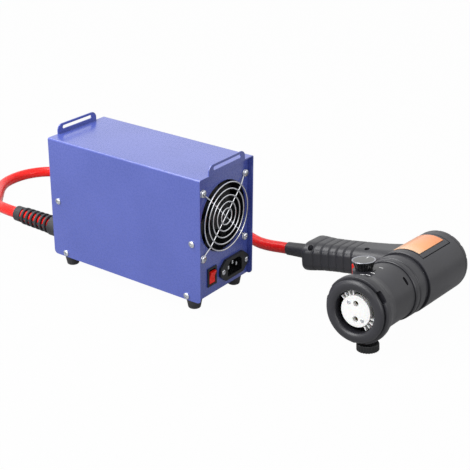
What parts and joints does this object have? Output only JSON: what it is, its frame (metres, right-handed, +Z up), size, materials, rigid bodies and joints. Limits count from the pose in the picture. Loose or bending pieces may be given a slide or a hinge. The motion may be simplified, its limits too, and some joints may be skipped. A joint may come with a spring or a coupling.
{
  "type": "induction heater",
  "caption": "Induction heater: slim blue sheet steel power case on rubber feet, with fan, inlet and rocker, and a charcoal hand-held induction gun on a thick red cable.",
  "frame": {"origin": "under the middle of case and gun together, at the level of the floor; the red cable isn't counted", "axes": "+Z up; the fan panel of the case faces -Y; the gun lies in front of it with its barrel along X, ceramic face towards -X, and its handle pointing to +Y"},
  "size_m": [0.2078, 0.6189, 0.1575],
  "materials": {
    "blue_paint": "smooth blue powder coat",
    "zinc": "zinc plated steel",
    "black_steel": "blackened steel",
    "black_plastic": "moulded black plastic",
    "shell_plastic": "fine textured charcoal plastic",
    "rubber": "black rubber",
    "red_plastic": "gloss red plastic",
    "red_sleeve": "gloss red flexible sleeve",
    "chrome": "chrome plated wire",
    "ceramic": "white glazed ceramic",
    "brass": "turned brass",
    "green_board": "green circuit board",
    "aluminium": "extruded aluminium",
    "ferrite": "dark sintered ferrite",
    "copper": "enamelled copper wire",
    "orange_label": "orange laminated label"
  },
  "bodies": {
    "heater": {"barrel_collar": "shell_plastic", "board_tray": "black_plastic", "cable_boot": "rubber", "cable_gland": "black_plastic", "ceramic_disc": "ceramic", "chassis": "blue_paint", "coil_holder": "black_plastic", "coil_sockets": "brass", "cover": "blue_paint", "cover_screw_left_1": "zinc", "cover_screw_left_2": "zinc", "cover_screw_left_3": "zinc", "cover_screw_left_4": "zinc", "cover_screw_right_1": "zinc", "cover_screw_right_2": "zinc", "cover_screw_right_3": "zinc", "cover_screw_right_4": "zinc", "dial_control": "zinc", "disc_screw_1": "zinc", "disc_screw_2": "zinc", "fan_frame": "black_plastic", "fan_guard": "chrome", "finned_insulator": "ceramic", "foot_back_left": "rubber", "foot_back_right": "rubber", "foot_front_left": "rubber", "foot_front_right": "rubber", "front_barrel": "shell_plastic", "gland_locknut": "black_plastic", "guard_screw_1": "zinc", "guard_screw_2": "zinc", "guard_screw_3": "zinc", "guard_screw_4": "zinc", "gun_core": "ferrite", "heatsink": "aluminium", "inlet_body": "black_plastic", "inlet_pin_1": "zinc", "inlet_pin_2": "zinc", "inlet_pin_3": "zinc", "inlet_screw_1": "zinc", "inlet_screw_2": "zinc", "label_plate": "orange_label", "nose_ring": "shell_plastic", "power_board": "green_board", "rear_cap": "shell_plastic", "red_cable": "red_sleeve", "shell_lower": "shell_plastic", "shell_screw_1": "black_steel", "shell_screw_2": "black_steel", "shell_upper": "shell_plastic", "strain_relief": "rubber", "switch_body": "black_plastic", "transformer_core": "ferrite", "transformer_winding": "copper", "trigger_switch": "black_plastic"},
    "power_rocker": {"rocker": "red_plastic"},
    "case_fan": {"fan_rotor": "black_plastic"},
    "heat_dial": {"dial_knob": "black_plastic"},
    "gun_trigger": {"trigger": "red_plastic"},
    "clamp_screw": {"clamp_knob": "black_plastic"}
  },
  "joints": [
    {"name": "rocker_tip", "type": "hinge", "parent": "heater", "child": "power_rocker", "pos_m": [-0.07523, -0.03345, 0.032], "axis": [1, 0, 0], "range_deg": [-20, 0]},
    {"name": "fan_spin", "type": "hinge", "parent": "heater", "child": "case_fan", "pos_m": [-0.05493, -0.02525, 0.093], "axis": [0, 1, 0], "continuous": true},
    {"name": "dial_turn", "type": "hinge", "parent": "heater", "child": "heat_dial", "pos_m": [-0.03513, -0.1914, 0.07094], "axis": [0.0609, 0.1382, 0.9885], "range_deg": [-135, 135]},
    {"name": "trigger_pull", "type": "slide", "parent": "heater", "child": "gun_trigger", "axis": [0.9981, -0.0157, -0.0593], "range_m": [0, 0.005], "stiffness_N_per_m": 600, "springref_m": -0.004},
    {"name": "clamp_turn", "type": "hinge", "parent": "heater", "child": "clamp_screw", "pos_m": [-0.06114, -0.21466, 0.00864], "axis": [-0.0606, -0.1036, -0.9928], "range_deg": [-180, 180]}
  ]
}
